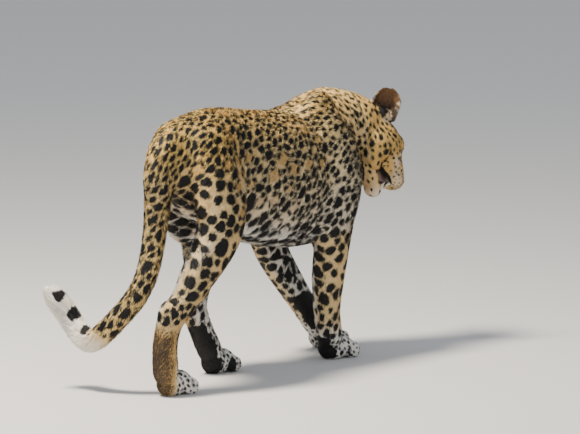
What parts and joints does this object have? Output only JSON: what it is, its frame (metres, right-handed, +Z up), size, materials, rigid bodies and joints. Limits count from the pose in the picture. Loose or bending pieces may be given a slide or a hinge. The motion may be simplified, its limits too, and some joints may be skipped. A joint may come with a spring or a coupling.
{
  "type": "leopard",
  "caption": "Spotted big cat in mid stride with the head lowered, the mouth parted and the tail curled up at its end; a still museum figure that stands on its four paws",
  "frame": {"origin": "on the floor, under the middle of the outer box", "axes": "+X the way the body faces, +Y the animal's left, +Z up"},
  "size_m": [1.0396, 0.3818, 0.6537],
  "materials": {
    "coat": "short dense spotted fur, golden on the back and paling to white below",
    "eye": "wet amber eyeball with a round black pupil",
    "tongue": "moist matt pink"
  },
  "bodies": {
    "root": {"torso": "coat", "neck": "coat", "head": "coat", "ear_right": "coat", "ear_left": "coat", "foreleg_right": "coat", "foreleg_left": "coat", "forepaw_right": "coat", "forepaw_left": "coat", "shank_right": "coat", "shank_left": "coat", "hock_right": "coat", "hock_left": "coat", "hindpaw_right": "coat", "hindpaw_left": "coat", "tail_1": "coat", "tail_2": "coat", "tail_3": "coat", "tail_4": "coat", "tail_5": "coat", "eye_right": "eye", "eye_left": "eye", "tongue": "tongue"}
  },
  "joints": []
}
